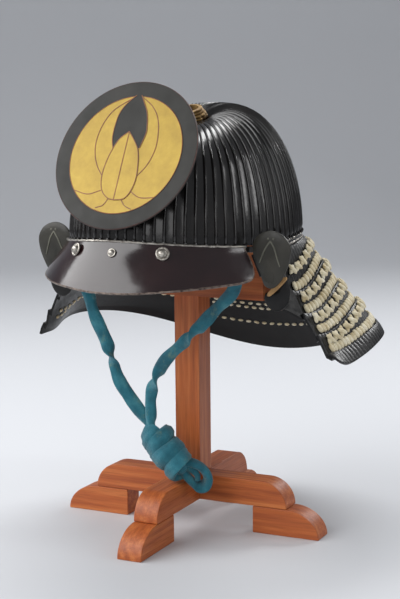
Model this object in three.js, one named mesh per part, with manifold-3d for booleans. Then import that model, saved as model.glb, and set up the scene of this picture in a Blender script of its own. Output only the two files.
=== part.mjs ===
import * as THREE from 'three';
import Module from 'manifold-3d';

const wasm = await Module();
wasm.setup();

// Samurai helmet on a wooden stand, in mm, +Z up. The helmet faces -Y and the wearer's left is +X.
// Everything is placed round the middle of the bowl's rim first and moved by ORIGIN at the end.

// Main sizes of the helmet
const RIM_HALF = 111;          // half width of the bowl at its rim
const RIM_LONG = 134.5;        // half length of the bowl, and how much longer its front is
const RIM_LEAN = 3.5;
const BOWL_WALL = 2.5;
const RIBS = 76;
const RIB_HEIGHT = 2;
const TOP_HOLE = 0.11;         // radius of the top hole as a share of the rim
const LAME_WALL = 2.4;
const GAP = 0.7;
const ORIGIN = new THREE.Vector3(2.21, 22.7, 0);

// Main sizes of the stand
const STAND_TURN = 3;
const STAND_AT = [2, 3.2];
const STOCK = 13.15;           // half width of the beams and feet
const POST = 13.9;             // half width of the post
const FOOT_TOP = 28.1;
const BEAM_TOP = 54.9;
const BEAM_END = 109.9;
const FOOT_IN = 72.8;
const FOOT_OUT = 144.9;
const BOARD_FOOT = 243;        // underside of the head board

// Height of the bowl's rim: degrees from the front, z
const RIM = [[0, 310.5], [17, 308.9], [30, 307], [47, 304.2], [66, 301.2], [88, 302.6], [105, 306.6],
  [125, 306], [150, 304], [180, 303]];
// Lines where one lame of the neck guard ends and the next begins: distance outside the rim and z,
// at 66 degrees where the first two reach round to the ears, at the front ends of the rest on either
// side (84 degrees), at 112 degrees and at the back. The wearer's right front hangs steeper.
const GUARD = [
  { name: 'top', ear: [2.8, 294.6], left: [2.8, 294.6], right: [2.8, 294.6], side: [2.8, 300.4], back: [2.6, 296.4] },
  { name: 'line 1', ear: [14, 274], left: [21, 254.5], right: [25, 255], side: [22.6, 275.5], back: [18, 265] },
  { name: 'line 2', ear: [22, 247], left: [35, 234], right: [37, 236], side: [38, 253.8], back: [34, 238] },
  { name: 'line 3', ear: [51, 215.5], left: [51, 215.5], right: [45.5, 220], side: [56.7, 234.5], back: [50, 212] },
  { name: 'line 4', ear: [63, 199], left: [63, 199], right: [50.5, 206.5], side: [78, 213.5], back: [64, 188] },
  { name: 'bottom', ear: [75, 187], left: [75, 187], right: [54.5, 194], side: [85.9, 201.5], back: [79, 153] },
];
// Lower edge of the visor: degrees from the front, z
const VISOR_EDGE = [[-60, 270], [-38, 267.3], [-22, 266], [-8, 264], [5, 263.8], [18, 264.7], [28, 266.3],
  [38, 267.6], [60, 271]];

const rad = (degrees) => degrees * Math.PI / 180;

// Straight value between the rows of a table of x and value
function along(table, x) {
  const last = table.length - 1;
  if (x <= table[0][0]) return table[0][1];
  for (let i = 1; i <= last; i++) {
    const [x0, v0] = table[i - 1];
    const [x1, v1] = table[i];
    if (x <= x1) return v0 + (v1 - v0) * (x - x0) / (x1 - x0);
  }
  return table[last][1];
}

// Smooth step between two numbers
const ease = (from, to, t) => from + (to - from) * (0.5 - 0.5 * Math.cos(Math.PI * Math.min(1, Math.max(0, t))));

// The rim's height, smoothed over neighbouring angles
function rimHeight(phi) {
  const angle = Math.abs(((phi + 180) % 360 + 360) % 360 - 180);
  return [-8, -4, 0, 4, 8].reduce((sum, step) => sum + along(RIM, Math.abs(angle + step)) / 5, 0);
}

// A point at an angle from the front, a distance outside the rim's ellipse and a height
function place(phi, out, z) {
  const long = RIM_LONG + RIM_LEAN * Math.cos(rad(phi));
  return new THREE.Vector3((RIM_HALF + out) * Math.sin(rad(phi)), -(long + out) * Math.cos(rad(phi)), z);
}

// A closed geometry from points and triangles, turned right side out
function solid(points, faces) {
  let volume = 0;
  for (let i = 0; i < faces.length; i += 3) {
    const [a, b, c] = [points[faces[i]], points[faces[i + 1]], points[faces[i + 2]]];
    volume += a.dot(new THREE.Vector3().crossVectors(b, c));
  }
  const index = [];
  for (let i = 0; i < faces.length; i += 3) {
    index.push(faces[i], faces[i + (volume < 0 ? 2 : 1)], faces[i + (volume < 0 ? 1 : 2)]);
  }
  const geometry = new THREE.BufferGeometry();
  geometry.setAttribute('position', new THREE.Float32BufferAttribute(points.flatMap((p) => [p.x, p.y, p.z]), 3));
  geometry.setIndex(index);
  return geometry;
}

// Joins a row of like loops of points into one solid. Each loop runs out on one side and back on the other.
function loft(loops, ring = false) {
  const n = loops.length;
  const m = loops[0].length;
  const faces = [];
  for (let i = 0; i < (ring ? n : n - 1); i++) {
    const next = ((i + 1) % n) * m;
    for (let j = 0; j < m; j++) {
      const k = (j + 1) % m;
      faces.push(i * m + j, i * m + k, next + k, i * m + j, next + k, next + j);
    }
  }
  if (!ring) {
    const end = (n - 1) * m;
    for (let j = 0; j < m / 2 - 1; j++) {
      faces.push(j, m - 1 - j, m - 2 - j, j, m - 2 - j, j + 1);
      faces.push(end + j, end + j + 1, end + m - 2 - j, end + j, end + m - 2 - j, end + m - 1 - j);
    }
  }
  return solid(loops.flat(), faces);
}

// A wall's section: its outer line of [out, z] and the same line set in by the wall's thickness
function section(line, thickness) {
  const normals = line.slice(1).map(([d, z], i) => {
    const [dx, dz] = [d - line[i][0], z - line[i][1]];
    const length = Math.hypot(dx, dz);
    return [-dz / length, dx / length];
  });
  const inner = line.map(([d, z], i) => {
    const a = normals[Math.max(0, i - 1)];
    const b = normals[Math.min(normals.length - 1, i)];
    const scale = thickness / (1 + a[0] * b[0] + a[1] * b[1]);
    return [d - (a[0] + b[0]) * scale, z - (a[1] + b[1]) * scale];
  });
  return [...line, ...inner.reverse()];
}

// A wall that follows the rim's ellipse: lineAt gives its outer line at each angle
function bentWall(angles, thickness, lineAt, ring = false) {
  return loft(angles.map((phi) => section(lineAt(phi), thickness).map(([d, z, turn = 0]) => place(phi + turn, d, z))),
    ring);
}

const range = (from, to, steps) => Array.from({ length: steps + 1 }, (_, i) => from + (to - from) * i / steps);

// Point of the bowl's smooth surface at an angle and a share of the way out from the middle
function bowlPoint(phi, s, inset = 0) {
  const rim = rimHeight(phi);
  const top = 435.5 - 9.5 * Math.cos(rad(phi));
  const at = (share) => {
    const long = RIM_LONG + RIM_LEAN * Math.cos(rad(phi));
    const dip = (top - 419) * Math.exp(-((share / 0.3) ** 2));
    const rise = share >= 1 ? 0 : (1 - share ** 3) ** 0.4878;
    const flat = 32 * share ** 2 * (1 - share ** 2) * Math.max(0, Math.cos(rad(phi))) ** 2;
    // The crown sinks round the hole and slopes down to the front
    const sink = 4 * (1 + Math.cos(rad(phi))) * Math.exp(-((share / 0.36) ** 2));
    const slant = 72 * Math.max(0, Math.cos(rad(phi))) * share ** 2 * (1 - share ** 2) ** 2;
    return new THREE.Vector3(RIM_HALF * share * Math.sin(rad(phi)),
      8 * (1 - share) ** 2 + flat - long * share * Math.cos(rad(phi)), rim + (top - rim) * rise - dip - sink - slant);
  };
  const point = at(s);
  if (!inset) return point;
  const slope = s > 0.995 ? new THREE.Vector3(0, 0, -1) : at(Math.min(0.9995, s + 0.002)).sub(at(s - 0.002));
  const level = new THREE.Vector3(Math.cos(rad(phi)) * RIM_HALF, Math.sin(rad(phi)) * RIM_LONG, 0);
  const normal = new THREE.Vector3().crossVectors(slope, level).normalize();
  if (normal.z < 0 || (Math.abs(normal.z) < 0.05 && normal.dot(point.clone().setZ(0)) < 0)) normal.negate();
  return point.addScaledVector(normal, -inset);
}

// The bowl: a hollow dome of folded ribs that run up to the open top
function bowl() {
  const shares = [1, 0.97, 0.88, 0.73, 0.52, 0.29, TOP_HOLE];
  const inner = [1, 0.96, 0.87, 0.7, 0.48, 0.27, TOP_HOLE];
  const loops = range(0, 360, 2 * RIBS).slice(0, -1).map((phi, i) => {
    const rib = (s) => (i % 2 ? 0 : -RIB_HEIGHT * Math.min(1, 0.15 + 1.6 * (s - TOP_HOLE)));
    return [...shares.map((s) => bowlPoint(phi, s, rib(s) || -0.001)),
      ...inner.map((s) => bowlPoint(phi, s, BOWL_WALL)).reverse()];
  });
  return loft(loops, true);
}

// The gilt rings round the top hole, one above the other
function topRing() {
  const profile = [[10.5, 0], [17.8, 0], [17.8, 2.4], [16.4, 3.4], [17.2, 5.6], [15, 7.4], [14.8, 9.8], [13.2, 11.2],
    [10.5, 11.2]];
  const ring = new THREE.LatheGeometry([...profile, profile[0]].map(([r, z]) => new THREE.Vector2(r, z)), 20);
  return ring.rotateX(Math.PI / 2).rotateX(rad(19)).translate(0, 6, 420.7);
}

// The band under the bowl's rim
function waistBand() {
  return bentWall(range(0, 360, 48).slice(0, -1), 2.8,
    (phi) => [[0.6, rimHeight(phi) - 0.6], [0.6, rimHeight(phi) - 6.6]], true);
}

// The visor, narrowed at its lower corners
function visor() {
  const rows = [
    { way: 0, out: 3.6, short: 0 }, { way: 0.18, out: 7.2, short: -0.5 }, { way: 0.5, out: 15.6, short: -0.5 },
    { way: 0.8, out: 22.8, short: 0.6 }, { way: 0.93, out: 25.4, short: 3 }, { way: 1, out: 26.6, short: 7.5 },
  ];
  return loft(range(-60, 60, 22).map((phi) => {
    const line = rows.map(({ way, out }) => {
      const top = rimHeight(phi) - 1;
      return [out, top + (along(VISOR_EDGE, phi) - top) * way];
    });
    const points = section(line, 2.2);
    const turn = (i) => 1 - (rows[i < rows.length ? i : 2 * rows.length - 1 - i].short / 60);
    return points.map(([d, z], i) => place(phi * turn(i), d, z));
  }));
}

// A domed rivet on its washer, its foot on the visor
function rivet(x, y, z, size) {
  const profile = [[0, 0], [1.25, 0], [1.25, 0.2], [0.86, 0.24], [0.78, 0.52], [0.45, 0.76], [0, 0.84]];
  const head = new THREE.LatheGeometry(profile.map(([r, h]) => new THREE.Vector2(r * size, h * size)), 14);
  const out = new THREE.Vector3(x * 1.5, y, Math.abs(y) * 0.42).normalize();
  const turn = new THREE.Quaternion().setFromUnitVectors(new THREE.Vector3(0, 1, 0), out);
  return head.applyQuaternion(turn).translate(x, y, z);
}

// Upright flat plate with a smooth outline in X and Z, its front face at y
function plate(outline, y, thickness, segments = 28) {
  const curve = new THREE.CatmullRomCurve3(outline.map(([x, z]) => new THREE.Vector3(x, z, 0)), true);
  const shape = new THREE.Shape(curve.getPoints(segments).slice(0, -1).map((p) => new THREE.Vector2(p.x, p.y)));
  const flat = new THREE.ExtrudeGeometry(shape, { depth: thickness, bevelEnabled: false });
  return flat.rotateX(Math.PI / 2).translate(0, y + thickness, 0);
}

const EAR = [[123.5, 317], [134.5, 313.5], [141, 307], [143.6, 299], [142, 288], [137.5, 277], [132, 268], [124, 262],
  [116, 265], [111.5, 277], [106, 288], [103.8, 299], [106, 308], [113, 314.5]];
const LOWER_EAR = [[133.5, 271], [137, 262], [137.2, 252], [132, 242.5], [124, 238.5], [115.5, 241.5], [111, 249],
  [112, 255.5], [118, 257], [124, 258], [128.5, 264]];
const LEATHER = [[115.6, 256.6], [118.4, 253.6], [134.6, 268.9], [132, 272]];
const mirrored = (outline) => outline.map(([x, z]) => [-x, z]).reverse();

// The round front crest, leaning back on its holder
const CREST = new THREE.Vector3(0, -120.8, 390);
const CREST_LEAN = 26.7;
function crestDisc() {
  const profile = [[0, -3], [75, -3], [76.2, -2], [76.2, -0.8], [75, 0], [73.6, 0], [72.8, -0.4], [0, -0.4]];
  const disc = new THREE.LatheGeometry(profile.map(([r, h]) => new THREE.Vector2(r, h)), 48);
  // The lathe's axis turns from +Y to the crest's front, which faces -Y and up
  return disc.rotateX(Math.PI - rad(CREST_LEAN)).translate(CREST.x, CREST.y, CREST.z);
}

// Flat holder between the crest and the bowl's front ribs
function crestHolder() {
  const lean = rad(CREST_LEAN);
  const prong = new THREE.BoxGeometry(18, 4.2, 44);
  prong.translate(0, 3 + 0.35 + 2.1, -27).rotateX(-lean);
  return prong.translate(CREST.x, CREST.y, CREST.z);
}

// A line of the neck guard at an angle
function guardLine(row, phi) {
  const angle = Math.abs(((phi + 180) % 360 + 360) % 360 - 180);
  const { ear, left, right, side, back } = GUARD[row];
  const front = phi > 180 || phi < 0 ? right : left;
  if (row === 0 && angle < 84) return [front[0], rimHeight(phi) - 8];
  const [from, to, t] = angle < 84 ? [ear, front, (angle - 66) / 18]
    : angle < 112 ? [front, side, (angle - 84) / 28] : [side, back, (angle - 112) / 68];
  // The last lame's left front corner is rounded
  const lift = row === GUARD.length - 1 && front === left ? 7 * Math.max(0, (87 - angle) / 7) ** 2 : 0;
  return [ease(from[0], to[0], t), ease(from[1], to[1], t) + lift];
}

// The outer line of one lame: it ends behind the top of the lame below it
function lameLine(row, phi) {
  const top = guardLine(row - 1, phi);
  const low = guardLine(row, phi);
  if (row === GUARD.length - 1) return [top, [(top[0] + low[0]) / 2 + 0.5, (top[1] + low[1]) / 2 + 0.5], low];
  const next = lameLine(row + 1, phi)[1];
  const length = Math.hypot(next[0] - low[0], next[1] - low[1]);
  const [dx, dz] = [(next[0] - low[0]) / length, (next[1] - low[1]) / length];
  const inset = LAME_WALL + GAP;
  const bend = [low[0] + dz * inset, low[1] - dx * inset];
  const angle = Math.abs(((phi + 180) % 360 + 360) % 360 - 180);
  const reach = Math.min(5.5, Math.max(0.5, (angle - 70) * 0.6));
  return [top, bend, [bend[0] + dx * reach, bend[1] + dz * reach]];
}

const GUARD_ANGLES = [80, ...range(84, 276, 30), 280];

// A lame of the neck guard. The first two run further round than the others, through planes of constant y.
function lame(row, extra) {
  if (!extra) return bentWall(GUARD_ANGLES, LAME_WALL, (phi) => lameLine(row, phi));
  const angleAt = (y, out) => Math.acos(-y / (RIM_LONG + 1.3 + out)) * 180 / Math.PI;
  const end = (y, side) => {
    const mean = angleAt(y, 12);
    return section(lameLine(row, mean), LAME_WALL).map(([d, z]) => place(side * angleAt(y, d), d, z));
  };
  const middle = GUARD_ANGLES.map((phi) => section(lameLine(row, phi), LAME_WALL).map(([d, z]) => place(phi, d, z)));
  return loft([...extra.map((y) => end(y, 1)), ...middle, ...extra.map((y) => end(y, -1)).reverse()]);
}

// A band of close lacing just above a line of the guard, standing off the lame by the gap
function lacing(row, height, thickness) {
  return bentWall(GUARD_ANGLES.slice(1, -1), thickness, (phi) => {
    const [top, bend] = lameLine(row, phi);
    const length = Math.hypot(bend[0] - top[0], bend[1] - top[1]);
    const [dx, dz] = [(top[0] - bend[0]) / length, (top[1] - bend[1]) / length];
    const off = GAP + 0.2 + thickness;
    const at = (up) => [bend[0] + dx * up + dz * off, bend[1] + dz * up - dx * off];
    return [at(height), at(2.2)];
  });
}

// A round cord through a row of points
function cord(points, diameter, steps, sides = 8) {
  const path = new THREE.CatmullRomCurve3(points.map(([x, y, z]) => new THREE.Vector3(x, y, z)));
  const shape = new THREE.Shape(range(0, 2 * Math.PI, sides).slice(0, -1)
    .map((a) => new THREE.Vector2(Math.cos(a) * diameter / 2, Math.sin(a) * diameter / 2)));
  return new THREE.ExtrudeGeometry(shape, { steps, extrudePath: path, bevelEnabled: false });
}

// Iron ring inside the waist band that holds one end of the chin cord
function cordRing(side) {
  const at = place(60, -4.2, 292);
  return new THREE.TorusGeometry(7, 1.5, 6, 14).rotateY(Math.PI / 2).rotateZ(-side * rad(25.2))
    .translate(side * at.x, at.y, at.z);
}

const CORD = 10.5;
const CORD_LEFT = [[91.2, -65.8, 282.9], [89.5, -66, 273], [85.5, -63.2, 262.5], [80.3, -60.6, 254], [73.2, -58.8, 247],
  [62.8, -57.6, 238.2], [49.2, -56.4, 224.6], [30.8, -55.2, 208], [12.1, -54, 191.4], [-3.1, -52.8, 174.5],
  [-12.6, -51.6, 157], [-17.4, -50.4, 139.5], [-16.6, -52.4, 125], [-15.8, -52.8, 112.8]];
const CORD_RIGHT = [[-91.2, -65.8, 282.9], [-90.5, -66, 272], [-87.8, -64, 259], [-83.5, -60, 244.6],
  [-80, -58.5, 228.1], [-71.7, -57, 208.1], [-63.4, -55.5, 188.1], [-57.1, -54, 167.1], [-51, -52.5, 153],
  [-41.5, -49, 136.5], [-31.5, -45, 121], [-21.2, -42, 106.6]];

// The knot: a barrel of wraps with the cord's end loop hanging from its lower end
function knot() {
  const profile = [[0, 0], [9, 0.3], [14.5, 3], [17, 9], [18, 18], [18.2, 30], [17, 43], [14, 52], [8.5, 57], [0, 58.5]];
  const barrel = new THREE.LatheGeometry(profile.map(([r, h]) => new THREE.Vector2(r, h)), 16);
  const from = new THREE.Vector3(-19.5, -47, 106.1);
  const axis = new THREE.Vector3(38, -1, -39).normalize();
  barrel.applyQuaternion(new THREE.Quaternion().setFromUnitVectors(new THREE.Vector3(0, 1, 0), axis));
  barrel.translate(from.x, from.y, from.z);
  const loop = cord([[14, -46, 78], [24, -42, 76], [35, -38, 70], [41, -36, 60], [37, -36, 51.5], [28.2, -38, 51.4],
    [20.6, -42, 60.4], [12.6, -46, 71.4]], 10.5, 18);
  return joined(barrel, loop);
}

const asManifold = (geometry) => {
  const keys = new Map();
  const points = [];
  const index = [];
  const position = geometry.getAttribute('position');
  const order = geometry.index ? [...geometry.index.array] : [...Array(position.count).keys()];
  for (const i of order) {
    const point = [position.getX(i), position.getY(i), position.getZ(i)];
    const key = point.map((value) => Math.round(value * 1e3)).join();
    if (!keys.has(key)) keys.set(key, points.push(point) - 1);
    index.push(keys.get(key));
  }
  const kept = [];
  for (let i = 0; i < index.length; i += 3) {
    const [a, b, c] = index.slice(i, i + 3);
    if (a !== b && b !== c && a !== c) kept.push(a, b, c);
  }
  return new wasm.Manifold(new wasm.Mesh({ numProp: 3, vertProperties: Float32Array.from(points.flat()),
    triVerts: Uint32Array.from(kept) }));
};

const asGeometry = (manifold) => {
  const mesh = manifold.getMesh();
  const geometry = new THREE.BufferGeometry();
  geometry.setAttribute('position', new THREE.Float32BufferAttribute(mesh.vertProperties, 3));
  geometry.setIndex([...mesh.triVerts]);
  return geometry;
};

const joined = (a, b) => asGeometry(asManifold(a).add(asManifold(b)));
const cut = (a, ...tools) => asGeometry(tools.reduce((rest, tool) => rest.subtract(asManifold(tool)), asManifold(a)));

// A block between two corners
function block(x0, x1, y0, y1, z0, z1) {
  return new THREE.BoxGeometry(x1 - x0, y1 - y0, z1 - z0).translate((x0 + x1) / 2, (y0 + y1) / 2, (z0 + z1) / 2);
}

// A side outline in X and Z, given a width in Y
function board(points, half) {
  const shape = new THREE.Shape(points.map(([x, z]) => new THREE.Vector2(x, z)));
  return new THREE.ExtrudeGeometry(shape, { depth: 2 * half, bevelEnabled: false }).rotateX(Math.PI / 2)
    .translate(0, half, 0);
}

// Quarter round from a flat top down to a point, as a list of X and Z
const quarter = (x0, z1, x1, z0, steps = 8) => range(0, 90, steps)
  .map((a) => [x0 + (x1 - x0) * Math.sin(rad(a)), z0 + (z1 - z0) * Math.cos(rad(a))]);

// One long beam of the cross, halved over the other one
function beam(notchOnTop) {
  const end = quarter(BEAM_END - 27, BEAM_TOP, BEAM_END, FOOT_TOP);
  const long = board([...end.map(([x, z]) => [-x, z]).reverse(), ...end], STOCK);
  const middle = (FOOT_TOP + BEAM_TOP) / 2;
  const width = STOCK + 0.3;
  return cut(long, notchOnTop ? block(-width, width, -30, 30, middle - 0.15, 90)
    : block(-width, width, -30, 30, 0, middle + 0.15));
}

function foot() {
  return board([[FOOT_IN, 0], ...quarter(BEAM_END, FOOT_TOP - 0.3, FOOT_OUT, 0).reverse(), [FOOT_IN, FOOT_TOP - 0.3]],
    STOCK);
}

// The arched board that carries the bowl from inside
function headBoard() {
  const half = 95;
  const y = -20;
  const inside = (x) => {
    // Lowest point of the bowl's inner face over this part of the board
    let low = 1e9;
    for (const yy of range(y - 1, y + 19, 5)) {
      const phi = Math.atan2(x, -(yy - 4) * RIM_HALF / RIM_LONG) * 180 / Math.PI;
      for (const s of range(TOP_HOLE, 0.97, 60)) {
        const p = bowlPoint(phi, s, BOWL_WALL);
        if (Math.hypot(p.x - x, p.y - yy) < 4) low = Math.min(low, p.z);
      }
    }
    return low;
  };
  const arch = range(-half, half, 24).map((x) => [x, Math.min(inside(x) - 1.8,
    322 + 102 * Math.max(0, 1 - Math.abs(x / half) ** 2.6) ** 0.5)]);
  const outline = [[half, BOARD_FOOT], [-half, BOARD_FOOT], ...arch];
  return board(outline, 9).translate(0, y + 9, 0);
}

const toStand = (geometry, turn = 0) => geometry.rotateZ(rad(STAND_TURN + turn)).translate(STAND_AT[0], STAND_AT[1], 0);

// Colours of the pieces
const LOOKS = {
  lacquer: { color: 0x17120f, roughness: 0.35, metalness: 0.1 },
  russet: { color: 0x2a1614, roughness: 0.25, metalness: 0.1 },
  disc: { color: 0x2b2826, roughness: 0.5, metalness: 0 },
  gilt: { color: 0x8a6a35, roughness: 0.4, metalness: 0.8 },
  iron: { color: 0x3a3634, roughness: 0.4, metalness: 0.8 },
  lace: { color: 0xe6dcba, roughness: 0.9, metalness: 0 },
  leather: { color: 0xb08a5a, roughness: 0.7, metalness: 0 },
  cloth: { color: 0x1f5f70, roughness: 0.9, metalness: 0 },
  wood: { color: 0x8a4322, roughness: 0.5, metalness: 0 },
};

const PARTS = [
  ['stand_beam_side_to_side', 'wood', () => toStand(beam(true))],
  ['stand_beam_front_to_back', 'wood', () => toStand(beam(false), 90)],
  ['stand_foot_left', 'wood', () => toStand(foot())],
  ['stand_foot_back', 'wood', () => toStand(foot(), 90)],
  ['stand_foot_right', 'wood', () => toStand(foot(), 180)],
  ['stand_foot_front', 'wood', () => toStand(foot(), 270)],
  ['stand_post', 'wood', () => toStand(block(-POST, POST, -POST, POST, BEAM_TOP + 0.3, BOARD_FOOT - 0.3))],
  ['stand_head_board', 'wood', () => headBoard()],
  ['helmet_bowl', 'lacquer', () => bowl()],
  ['top_ring', 'gilt', () => topRing()],
  ['waist_band', 'lacquer', () => waistBand()],
  ['visor', 'russet', () => visor()],
  ['visor_rivet_centre', 'iron', () => rivet(0, -147.2, 299.5, 3.4)],
  ['visor_rivet_left', 'iron', () => rivet(47.8, -135, 299.4, 5.2)],
  ['visor_rivet_right', 'iron', () => rivet(-47.8, -135, 299.4, 5.2)],
  ['crest_disc', 'disc', () => crestDisc()],
  ['crest_holder', 'iron', () => crestHolder()],
  ['neck_lame_1', 'lacquer', () => lame(1, [-58, -46.8, -37])],
  ['neck_lame_2', 'lacquer', () => lame(2, [-46.8, -37])],
  ['neck_lame_3', 'lacquer', () => lame(3)],
  ['neck_lame_4', 'lacquer', () => lame(4)],
  ['neck_lame_5', 'lacquer', () => lame(5)],
  ['lacing_1', 'lace', () => lacing(1, 9.5, 1.9)],
  ['lacing_2', 'lace', () => lacing(2, 9.5, 1.9)],
  ['lacing_3', 'lace', () => lacing(3, 9.5, 1.9)],
  ['lacing_4', 'lace', () => lacing(4, 9.5, 1.9)],
  ['ear_left', 'russet', () => plate(EAR, -61, 2.4)],
  ['ear_right', 'russet', () => plate(mirrored(EAR), -61, 2.4)],
  ['lower_ear_left', 'lacquer', () => plate(LOWER_EAR, -50, 2.4, 24)],
  ['lower_ear_right', 'lacquer', () => plate(mirrored(LOWER_EAR), -50, 2.4, 24)],
  ['leather_edge_left', 'leather', () => plate(LEATHER, -52, 1.4, 12)],
  ['leather_edge_right', 'leather', () => plate(mirrored(LEATHER), -52, 1.4, 12)],
  ['cord_ring_left', 'iron', () => cordRing(1)],
  ['cord_ring_right', 'iron', () => cordRing(-1)],
  ['chin_cord_left', 'cloth', () => cord(CORD_LEFT, CORD, 23)],
  ['chin_cord_right', 'cloth', () => cord(CORD_RIGHT, CORD, 18)],
  ['chin_knot', 'cloth', () => knot()],
];

const part = new THREE.Group();
for (const [name, look, make] of PARTS) {
  const mesh = new THREE.Mesh(make().translate(-ORIGIN.x, -ORIGIN.y, -ORIGIN.z), new THREE.MeshStandardMaterial(LOOKS[look]));
  mesh.name = name;
  part.add(mesh);
}

export default part;
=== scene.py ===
import math

import bmesh
import bpy
import numpy as np
from mathutils import Matrix


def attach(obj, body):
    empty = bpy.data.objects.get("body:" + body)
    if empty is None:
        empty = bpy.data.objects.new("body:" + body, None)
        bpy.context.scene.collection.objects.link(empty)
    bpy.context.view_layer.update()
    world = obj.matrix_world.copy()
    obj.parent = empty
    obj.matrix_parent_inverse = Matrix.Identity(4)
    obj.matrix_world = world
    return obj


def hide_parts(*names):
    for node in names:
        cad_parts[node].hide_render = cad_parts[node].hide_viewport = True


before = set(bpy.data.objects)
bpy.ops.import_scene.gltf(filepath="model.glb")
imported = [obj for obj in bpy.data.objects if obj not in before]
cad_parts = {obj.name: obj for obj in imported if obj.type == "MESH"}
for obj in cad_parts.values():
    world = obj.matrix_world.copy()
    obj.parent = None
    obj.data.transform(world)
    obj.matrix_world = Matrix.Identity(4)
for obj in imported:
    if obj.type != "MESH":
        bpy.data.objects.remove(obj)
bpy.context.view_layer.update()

# Sizes in mm round the middle of the bowl's rim, the same as in the solids
ORIGIN = np.array([2.21, 22.7, 0.0])
RIM_HALF, RIM_LONG, RIM_LEAN = 111.0, 134.5, 3.5
BOWL_WALL, RIBS, RIB_HEIGHT, TOP_HOLE = 2.5, 76, 2.0, 0.11
# The crown's height at the sides, its rise to the back, the height at the hole, how far the brow is
# flattened, and how far the front of the crown sinks at the hole and slants
CROWN, CROWN_LEAN, HOLE_HEIGHT, BROW_FLAT, SINK, SLANT = 435.5, 9.5, 419, 32, 4, 72
RING_TILT, RING_AT = math.radians(19), np.array([0, 6, 420.7])
LAME_WALL, GAP = 2.4, 0.7
STAND_TURN, STAND_AT = 3.0, (2.0, 3.2)
# Half widths and heights of the stand, its beams' and feet's ends, and the air between its pieces
STOCK, POST, FOOT_TOP, BEAM_TOP, AIR = 13.15, 13.9, 28.1, 54.9, 0.3
BEAM_END, FOOT_IN, FOOT_OUT, BOARD_FOOT = 109.9, 72.8, 144.9, 243.0
# The camera in metres and degrees, and the way from the cords to it
CAMERA_AT = np.array([0.69469, -1.27090, 0.4434])
CAMERA_YAW, CAMERA_PITCH, CAMERA_ROLL, CAMERA_LENS = 28.72, 8.26, -0.51, 84.14
TO_CAMERA = CAMERA_AT - np.array([0, -0.02, 0.25])
VIEW = TO_CAMERA / np.linalg.norm(TO_CAMERA)

# Heights of the bowl's rim: degrees from the front, height
RIM = [(0, 310.5), (17, 308.9), (30, 307), (47, 304.2), (66, 301.2), (88, 302.6), (105, 306.6),
       (125, 306), (150, 304), (180, 303)]
# Lines of the neck guard as distance outside the rim and height: near the ears, at the front on the
# wearer's left and right, at the side and at the back
GUARD = [
    ((2.8, 294.6), (2.8, 294.6), (2.8, 294.6), (2.8, 300.4), (2.6, 296.4)),
    ((14, 274), (21, 254.5), (25, 255), (22.6, 275.5), (18, 265)),
    ((22, 247), (35, 234), (37, 236), (38, 253.8), (34, 238)),
    ((51, 215.5), (51, 215.5), (45.5, 220), (56.7, 234.5), (50, 212)),
    ((63, 199), (63, 199), (50.5, 206.5), (78, 213.5), (64, 188)),
    ((75, 187), (75, 187), (54.5, 194), (85.9, 201.5), (79, 153)),
]
LAST = len(GUARD) - 1
# Degrees from the front of those lines, the arc of the lames, and the part of it that is laced
EAR_AT, FRONT_AT, SIDE_AT = 66, 84, 112
GUARD_FROM, GUARD_TO, LACED_FROM, LACED_TO = 80, 280, 82.5, 277.5
# Scales along each lame
SCALES = [0, 86, 94, 104, 116, 128]
# The visor's lower edge: degrees from the front, height
VISOR_END = 60
VISOR_EDGE = [(-60, 270), (-38, 267.3), (-22, 266), (-8, 264), (5, 263.8), (18, 264.7), (28, 266.3),
              (38, 267.6), (60, 271)]
# Way down the visor, distance outside the rim, degrees taken off each end
VISOR_ROWS = [(0, 3.6, 0), (0.18, 7.2, -0.5), (0.5, 15.6, -0.5), (0.8, 22.8, 0.6), (0.93, 25.4, 3),
              (1, 26.6, 7.5)]
# Outlines of the plates at the guard's front ends, as (x, z) on the wearer's left
EAR = [(123.5, 317), (134.5, 313.5), (141, 307), (143.6, 299), (142, 288), (137.5, 277), (132, 268),
       (124, 262), (116, 265), (111.5, 277), (106, 288), (103.8, 299), (106, 308), (113, 314.5)]
LOWER_EAR = [(133.5, 271), (137, 262), (137.2, 252), (132, 242.5), (124, 238.5), (115.5, 241.5),
             (111, 249), (112, 255.5), (118, 257), (124, 258), (128.5, 264)]
LEATHER = [(115.6, 256.6), (118.4, 253.6), (134.6, 268.9), (132, 272)]
# The middle of the cord from each ring down to the knot, and of the knot's end loop
CORD_LEFT = [(91.2, -65.8, 282.9), (89.5, -66, 273), (85.5, -63.2, 262.5), (80.3, -60.6, 254),
             (73.2, -58.8, 247), (62.8, -57.6, 238.2), (49.2, -56.4, 224.6), (30.8, -55.2, 208),
             (12.1, -54, 191.4), (-3.1, -52.8, 174.5), (-12.6, -51.6, 157), (-17.4, -50.4, 139.5),
             (-16.6, -52.4, 125), (-15.8, -52.8, 112.8)]
CORD_RIGHT = [(-91.2, -65.8, 282.9), (-90.5, -66, 272), (-87.8, -64, 259), (-83.5, -60, 244.6),
              (-80, -58.5, 228.1), (-71.7, -57, 208.1), (-63.4, -55.5, 188.1), (-57.1, -54, 167.1),
              (-51, -52.5, 153), (-41.5, -49, 136.5), (-31.5, -45, 121), (-21.2, -42, 106.6)]
END_LOOP = [(14, -46, 78), (24, -42, 76), (34, -38, 71), (40, -36, 61.5), (37, -36.5, 52.5),
            (28.6, -38, 51.6), (20.6, -42, 59.6), (12.6, -46, 71.4)]
KNOT_FROM, KNOT_AXIS = np.array([-19.5, -47, 106.1]), np.array([38.0, -1, -39])
CORD_WIDE, CORD_THICK = 6.5, 2.5
CREST, CREST_LEAN, GOLD_RADIUS = np.array([0, -120.8, 390.0]), math.radians(26.7), 60.2


# Small geometry helpers
def unit(v):
    v = np.asarray(v, float)
    return v / np.maximum(np.linalg.norm(v, axis=-1, keepdims=True), 1e-12)


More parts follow.
